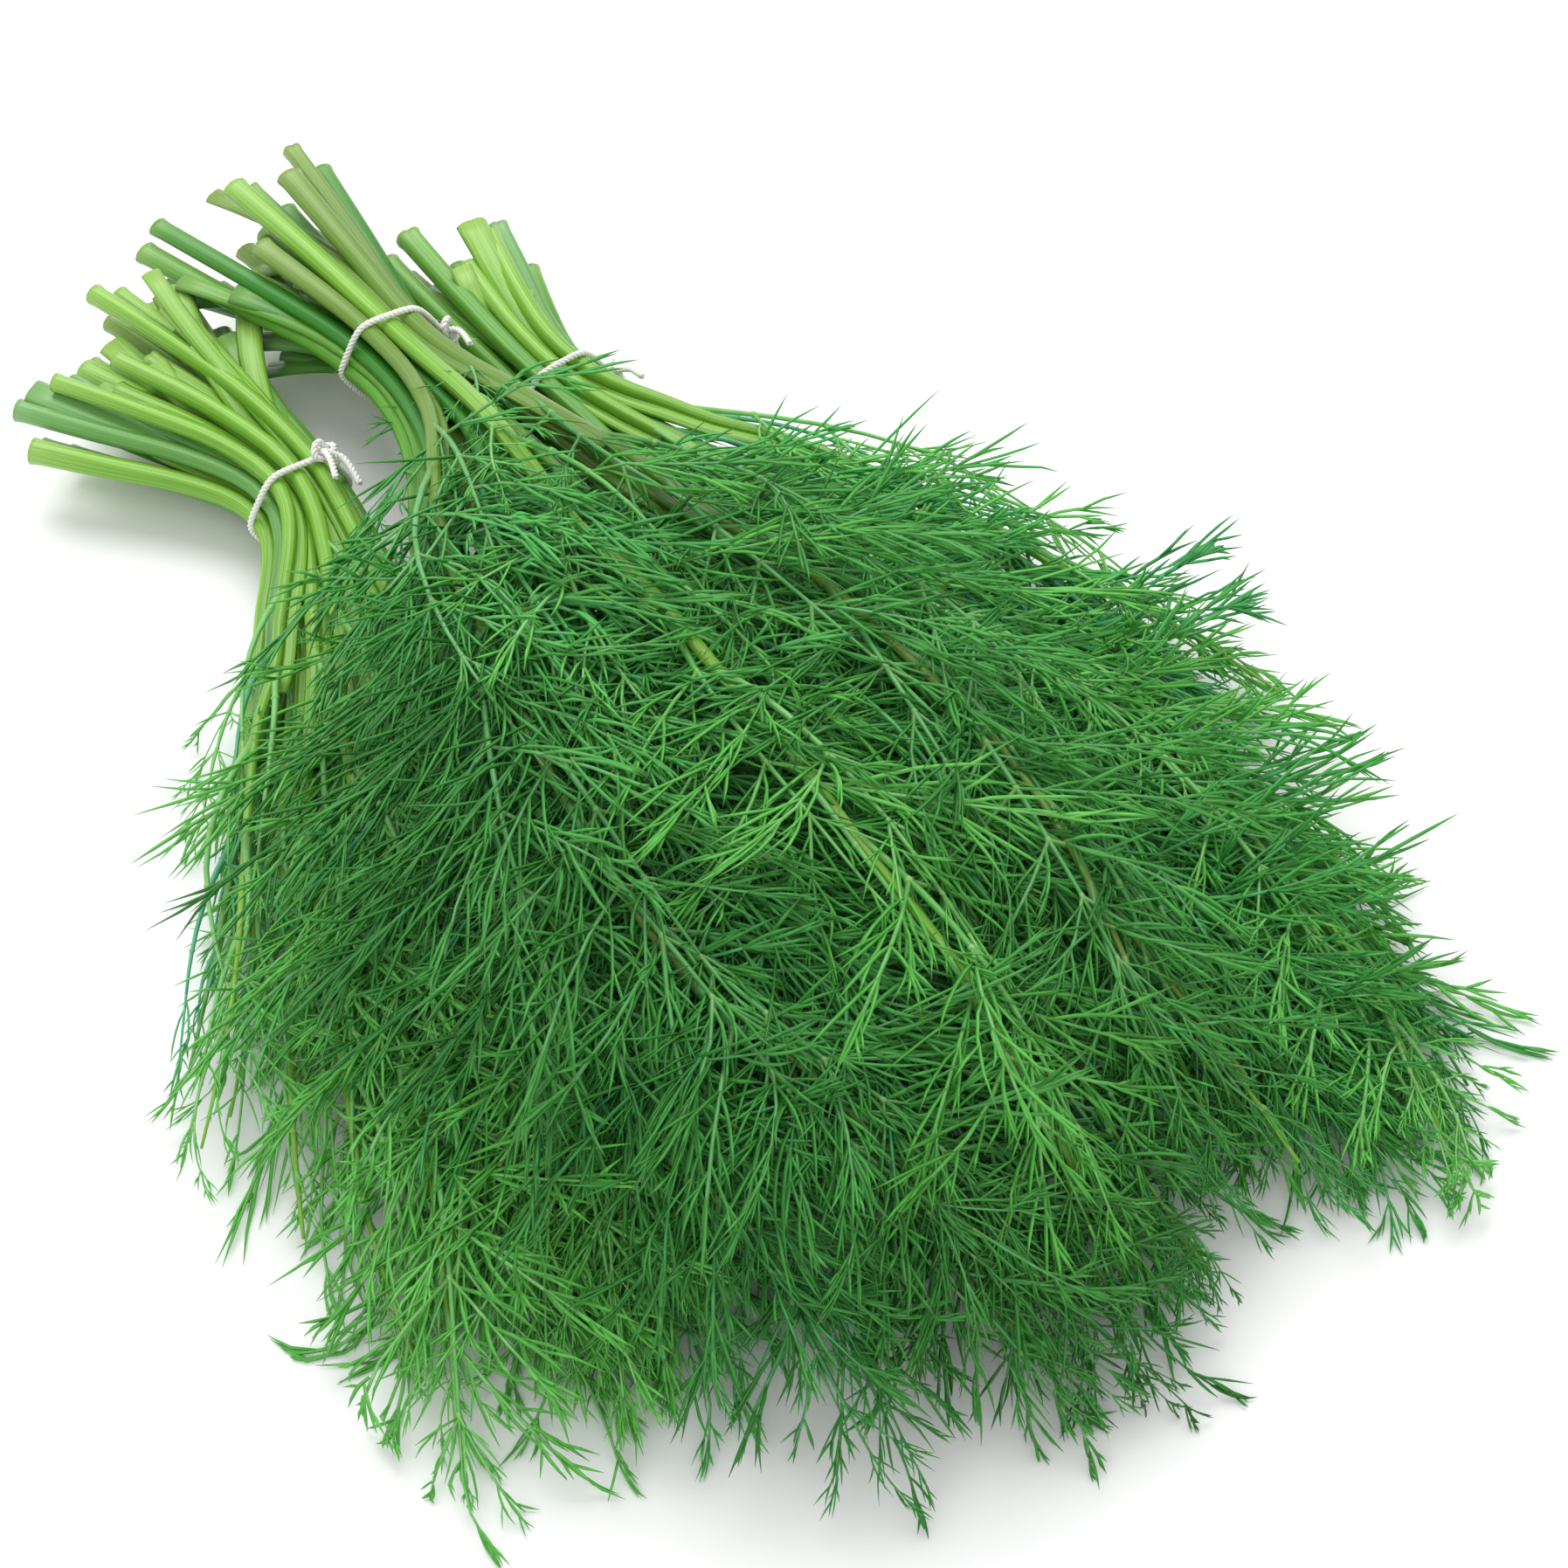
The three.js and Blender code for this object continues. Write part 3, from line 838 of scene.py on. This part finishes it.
# How light a hank's leaves are, partly their own young or older green and partly painted light and shade,
# lowest for the middle hank at the shaded centre of the bunch; how many metres past its tip they run; and
# how many metres further out they may reach on its -Y and its +Y side.
habits = {
    "left": {"youthAndLight": 0.56, "past": 0.006, "edge": (-0.02, 0.032)},
    "right": {"youthAndLight": 0.5, "past": 0.02, "edge": (0.012, -0.014)},
    "middle": {"youthAndLight": 0.18, "past": 0.014, "edge": (0.026, -0.006)},
}
sprigPlan = {
    "leafyHalf": 0.0045,  # metres of half width from which the room is a plume and not a stem
    "straightening": 40,  # rounds that even out the stem where its plume hides it
    "sideLeafOdds": (0.5, 0.5, 0.4, 0.2, 0.12),  # of a small leaf low on a stem, for each row
    "sideLeafSize": (0.28, 0.45),
    "sideLeafSpread": 0.014,  # metres
    "sideLeafFrom": (0.012, 0.03),  # metres past the tie
    "sideLeafGap": (0.018, 0.03),
    "plumeEdge": 0.012,  # metres before the plume where its leaves start, and before its tip
    "spacingSwing": (0.8, 1.2),
    "endLeaf": (0.03, 0.6),  # metres before the tip where the last leaf starts, and its size
    "quickStep": 2.6,  # a factor for spacing leaves further apart
}


def rowOf(number):
    return next(row for row, last in enumerate(np.cumsum(sprigsPerRow)) if number < last)


def softened(points, rounds):
    for _ in range(rounds):
        points = np.vstack((points[:1], (points[:-2] + 2 * points[1:-1] + points[2:]) / 4, points[-1:]))
    return points


def readSprig(hank, number):  # a sprig's spine, with the line that its stem takes through its room
    spine = spineOf(f"{hank}_sprig_{number + 1:02d}")
    plume = np.argmax(spine["half"][:, 0] > sprigPlan["leafyHalf"])
    spine["leafy"] = spine["run"][plume]
    sinking, rising = stemPlan["ease"]
    inPlume = np.clip((spine["run"] - spine["leafy"]) / sinking, 0, 1)[:, None]
    inPlume = inPlume**2 * (3 - 2 * inPlume)
    fade = np.clip((spine["run"][-1] - spine["run"]) / rising, 0, 1)[:, None]
    depth = stemPlan["chiefSink" if (hank, number) == stemPlan["chief"] else "sink"]
    sink = depth * spine["half"][:, 1:] * inPlume * fade
    even = softened(spine["middle"], sprigPlan["straightening"])
    spine["stem"] = spine["middle"] + inPlume * (even - spine["middle"]) - sink * spine["up"]
    return spine


spines = {hank: [readSprig(hank, number) for number in range(sum(sprigsPerRow))] for hank in hankNames}
every = [spine for hank in hankNames for spine in spines[hank]]
for hank in hankNames:
    hankMiddle = np.mean([spine["middle"] for spine in spines[hank]], axis=0)
    for spine in spines[hank]:
        spine["hankMiddle"] = hankMiddle
outlineSpots = np.vstack([spine["middle"][::4, :2] for spine in every])
outlineHalves = np.concatenate([spine["half"][::4, 0] for spine in every])
print("spines read")


def tieStation(hank, spine):  # the station on a sprig's spine at which its tie crosses it
    low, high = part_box(f"{hank}_tie")
    return int(np.argmin(np.linalg.norm(spine["middle"] - np.array((low + high) / 2), axis=1)))


def growStem(hank, number, spine, rng, tieRun):
    plan, total = stemPlan, spine["run"][-1]
    cutEnd, (fine, coarse) = plan["cutEnd"], plan["points"]
    stations = np.concatenate((np.linspace(0, cutEnd, fine)[:-1], np.linspace(cutEnd, total, coarse)))
    line = along(spine, "stem", stations)
    swell = rng.uniform(*plan["cutSwell"])
    thick = np.interp(stations, (0, tieRun, spine["leafy"], total), (swell, *plan["taper"]))
    if (hank, number) == plan["chief"]:
        thick = np.interp(stations, (0, tieRun, total), (swell, *plan["chiefTaper"]))
    thick = thick * (1 + plan["lip"] * np.clip(1 - stations / plan["lipLength"], 0, 1) ** 2)
    radii = rng.uniform(*plan["radius"]) * mm * thick
    drawn = stems[rng.choice(3, p=plan["outlineOdds"])]
    stem = strandMesh("stem", [(pressed(line)[None], radii[None], np.zeros(1), (0, 1))], drawn, "stem")
    hollowCut(stem)
    meshes = [(stem, 0)]
    inward = spine["hankMiddle"] - spine["middle"]
    inward = unit(inward - np.sum(inward * spine["heading"], 1, keepdims=True) * spine["heading"])
    for leaning in plan["stalkTurns"][: rng.choice(plan["stalks"])]:  # in the gaps towards the middle
        towards = unit(inward + leaning * rng.choice((-1, 1)) * np.cross(spine["heading"], inward))
        beside = spine["stem"] + towards * (plan["radius"][1] + plan["stalkGap"]) * mm
        first = rng.uniform(*plan["stalkStart"]) * tieRun
        runs = np.linspace(first, spine["leafy"] + plan["stalkEnd"], plan["stalkPoints"])
        path = between(runs, spine["run"], beside)
        free = np.clip(1 - runs / tieRun, 0, 1)[:, None] ** 2 * 3
        path = path + (rng.normal(0, plan["stalkSpread"], 3) + plan["stalkLean"][hank]) * mm * free
        thin = np.interp(runs, (0, tieRun, runs[-1]), plan["stalkTaper"])
        thin = thin * rng.uniform(*plan["stalkRadius"]) * mm
        path[:, 2] = np.maximum(path[:, 2], thin * plan["sheath"][0])
        bundle = (path[None], thin[None], np.zeros(1), (0, 1))
        stalk = strandMesh("stalk", [bundle], stems[3], "stem")
        hollowCut(stalk)
        meshes.append((stalk, 0))
    return meshes


def growSprig(hank, number):
    node = f"{hank}_sprig_{number + 1:02d}"
    rng = np.random.default_rng(100 * hankNames.index(hank) + number)
    spine, row = spines[hank][number], rowOf(number)
    plan, habit, total = sprigPlan, habits[hank], spine["run"][-1]
    plumeStart = spine["leafy"] - plan["plumeEdge"]
    tone = rng.choice(list(toneOdds[hank]), p=list(toneOdds[hank].values()))
    tieRun = spine["run"][tieStation(hank, spine)]
    parts = growStem(hank, number, spine, rng, tieRun)

    # its leaves, at alternate sides, with small ones between the tie and the plume
    leaf = {"axis": [], "thread": []}
    spacing = leafPlan["spacing"][row] * 1
    side = rng.choice((-1, 1))
    run = tieRun + rng.uniform(*plan["sideLeafFrom"])
    while run < plumeStart:
        if rng.uniform() < plan["sideLeafOdds"][row]:
            small = rng.uniform(*plan["sideLeafSize"])
            growLeaf(leaf, spine, rng, run, side, row, habit, small, plan["sideLeafSpread"])
        run += rng.uniform(*plan["sideLeafGap"])
        side = -side
    run = plumeStart
    while run < total - plan["plumeEdge"]:
        growLeaf(leaf, spine, rng, run, side, row, habit)
        run += spacing * rng.uniform(*plan["spacingSwing"])
        side = -side
    endGap, small = plan["endLeaf"]
    growLeaf(leaf, spine, rng, total - endGap, side, row, habit, small)

    for kind, drawn, material in (("axis", ribOutline, 2), ("thread", threadOutline, 3)):
        bundles = [(pressed(lines), radii, np.clip(shades, 0, 1), span)
                   for lines, radii, shades, span in leaf[kind]]
        parts.append((strandMesh(kind, bundles, drawn, kind), material))
    used = dillMaterials[tone]
    materials = (used["stem"], pith, used["axis"], used["thread"])
    piece = joinMeshes(f"{hank}_dill_{number + 1:02d}", parts, materials)
    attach(piece, "root")
    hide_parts(node)


for hank in hankNames:
    for number in range(sum(sprigsPerRow)):
        growSprig(hank, number)
print("sprigs grown")

# ties: cotton string laid once round the stems, knotted, with two cut tails

tiePlan = {
    "stringRadius": 0.85,  # mm
    "plies": 3,
    "pitch": 3.8,  # mm of string for a full turn of its plies
    "step": 0.42,  # mm between points of a ply
    "stemRadius": 2.35,  # mm, of the stems that it is pulled against
    "slant": 1.2,  # mm that its turn leans along the stems
    "plyShare": 0.52,  # radius of a ply, as a share of the string's
    "rounds": 120,  # points round the turn before it is spaced evenly
    "softening": {"turn": 60, "knot": 3, "tail": 10},  # rounds that take out its corners
    "knotRadius": 3.6,  # mm
    "knotHeight": 1.1,  # mm from the string's middle line out to the knot's
    "tails": ((0, 0.8, 0), (3, 2.4, 1.6), (6.5, 4.6, 1.4), (12, 6.0, 0.2)),  # mm along, aside, outward
    "tailBend": (0.6, 1.2),  # how far the free half of a tail swings aside
    "fuzz": 90,  # loose fibres on each tie
    "fuzzLength": (1.2, 2.6),  # mm
    "fuzzBend": 0.4,
    "fuzzRadii": (0.05, 0.045, 0.04, 0.02),  # mm, from root to tip
}


def eased(points, kind):  # spaced evenly, with its corners taken out
    runs = runsOf(points)
    spaced = np.linspace(0, runs[-1], max(int(runs[-1] / (tiePlan["step"] * mm)), 4))
    return softened(between(spaced, runs, points), tiePlan["softening"][kind])


def twisted(route):  # the plies of a string, wound round its route
    plan = tiePlan
    headings = unit(np.gradient(route, axis=0))
    side = unit(np.cross(headings[0], skyward))
    sides = []
    for heading in headings:
        side = unit(side - (side @ heading) * heading)
        sides.append(side)
    sides = np.array(sides)
    others = np.cross(headings, sides)
    runs = runsOf(route)
    wound = plan["plyShare"] * plan["stringRadius"] * mm
    lines = []
    for ply in range(plan["plies"]):
        turn = (2 * math.pi * (runs / (plan["pitch"] * mm) + ply / plan["plies"]))[:, None]
        lines.append(route + wound * (np.cos(turn) * sides + np.sin(turn) * others))
    return np.array(lines), np.full((len(lines), len(route)), wound)


def tieFrame(hank):  # the middle of the bound stems, the way they run, and where they cross the tie
    low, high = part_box(f"{hank}_tie")
    place = np.array((low + high) / 2)
    heading = sum(spine["heading"][tieStation(hank, spine)] for spine in spines[hank])
    heading = unit(heading * np.array((1, 1, 0)))
    lines = [spine["middle"] for spine in spines[hank]]
    crossings = np.array([between(0, (line - place) @ heading, line) for line in lines])
    across = unit(np.cross(skyward, heading))
    middle = crossings.mean(0)
    flat = np.stack(((crossings - middle) @ across, (crossings - middle) @ skyward), 1)
    return middle, heading, across, flat


def knotTurnOf(hank, middle, heading, across):  # the side of the bundle that the knot is on
    points = np.array([v.co for v in frame["nodes"][f"{hank}_tie"].data.vertices]) - middle
    flat = np.stack((points @ across, points @ skyward), 1)
    far = flat[np.linalg.norm(flat, axis=1) > np.linalg.norm(flat, axis=1).max() - 1.5 * mm]
    return math.atan2(far[:, 1].mean(), far[:, 0].mean())


def makeTie(hank):
    plan = tiePlan
    rng = np.random.default_rng(900 + hankNames.index(hank))
    middle, heading, across, flat = tieFrame(hank)
    knotTurn = knotTurnOf(hank, middle, heading, across)
    inSpace = lambda a, u, h: middle + a * across + u * skyward + h * heading
    clear = (plan["stemRadius"] + plan["stringRadius"]) * mm

    def rim(turn):  # the point of the stems' outer line that faces this way
        facing = np.array((math.cos(turn), math.sin(turn)))
        return flat[np.argmax(flat @ facing)] + clear * facing

    turns = knotTurn + np.linspace(0, 2 * math.pi, plan["rounds"])
    slant = plan["slant"] * mm * np.sin(turns - knotTurn)
    wound = np.array([inSpace(*rim(turn), height) for turn, height in zip(turns, slant)])

    # the knot: a small trefoil sitting on the turn
    outward = math.cos(knotTurn) * across + math.sin(knotTurn) * skyward
    sideways = np.cross(outward, heading)
    seat = inSpace(*rim(knotTurn), 0) + outward * plan["knotHeight"] * mm
    t = np.linspace(0, 2 * math.pi, 60)[:, None]
    size = plan["knotRadius"] * mm / 3  # the trefoil below is 3 in radius
    loops = seat + size * (
        (np.sin(t) + 2 * np.sin(2 * t)) * heading
        + (np.cos(t) - 2 * np.cos(2 * t)) * sideways
        + 1.3 * np.sin(3 * t) * outward
    )
    routes = [eased(wound, "turn"), eased(loops, "knot")]
    for hand in (-1, 1):
        bend = rng.uniform(*plan["tailBend"])
        tail = [
            seat + heading * ahead * mm + hand * sideways * aside * mm * swing + outward * off * mm
            for (ahead, aside, off), swing in zip(plan["tails"], (1, 1, bend, bend))
        ]
        routes.append(eased(np.array(tail), "tail"))

    bundles, fuzz = [], []
    for route in routes:
        lines, radii = twisted(route)
        bundles.append((lines, radii, rng.uniform(0, 1, len(lines)), (0, 1)))
        for _ in range(int(plan["fuzz"] * len(route) / sum(map(len, routes)))):
            start = route[rng.integers(len(route))]
            away = unit(rng.normal(0, 1, 3))
            length, bend = rng.uniform(*plan["fuzzLength"]) * mm, rng.normal(0, plan["fuzzBend"], 3)
            fuzz.append(bentLine(start, away, length, bend, len(plan["fuzzRadii"])))
    meshes = [(strandMesh("plies", bundles, plyOutline, "string", 0.12), 0)]
    hairs = np.array(fuzz)
    hairRadii = np.tile(np.array(plan["fuzzRadii"]) * mm, (len(hairs), 1))
    bundle = (hairs, hairRadii, rng.uniform(0, 1, len(hairs)), (0, 1))
    meshes.append((strandMesh("fuzz", [bundle], threadOutline, "string"), 0))
    piece = joinMeshes(f"{hank}_string", meshes, (cotton,))
    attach(piece, "root")
    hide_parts(f"{hank}_tie")


for hank in hankNames:
    makeTie(hank)
print("ties wound")

# floor and light

stagePlan = {
    "floor": {"size": 4.0, "colour": (0.96, 0.96, 0.96, 1), "roughness": 0.9, "shine": 0.1},
    "sky": 0.7,
    "key": {"size": 1.2, "power": 11.5, "from": (-0.55, 0.3, 1.1)},
    "fill": {"size": 1.4, "power": 5, "from": (0.6, -0.8, 1.0)},
}


def makeFloor():
    plan, shape = stagePlan["floor"], bmesh.new()
    bmesh.ops.create_grid(shape, x_segments=2, y_segments=2, size=plan["size"] / 2)
    mesh = bpy.data.meshes.new("floor")
    shape.to_mesh(mesh)
    shape.free()
    material, tree, surface = newMaterial("floor_pale")
    surface["Base Color"].default_value = plan["colour"]
    surface["Roughness"].default_value = plan["roughness"]
    surface["Specular IOR Level"].default_value = plan["shine"]
    mesh.materials.append(material)
    addObject("floor", mesh)


def makeLight(name):
    plan = stagePlan[name]
    lamp = bpy.data.lights.new(name, "AREA")
    lamp.shape = "DISK"
    lamp.size = plan["size"]
    lamp.energy = plan["power"]
    light = addObject(name, lamp)
    light.location = plan["from"]
    light.rotation_euler = (-Vector(plan["from"])).to_track_quat("-Z", "Y").to_euler()


def setSky():
    sky = bpy.data.worlds.new("studio")
    sky.use_nodes = True
    sky.node_tree.nodes["Background"].inputs["Color"].default_value = (1, 1, 1, 1)
    sky.node_tree.nodes["Background"].inputs["Strength"].default_value = stagePlan["sky"]
    bpy.context.scene.world = sky
    bpy.context.scene.view_settings.view_transform = "Standard"


makeFloor()
makeLight("key")
makeLight("fill")
setSky()
print("floor and light set")

sprigs = [o for o in bpy.data.objects if "_dill_" in o.name]
counts = [sum(len(face.vertices) - 2 for face in sprig.data.polygons) for sprig in sprigs]
print("triangles", sum(counts), "and the most in a sprig", max(counts))
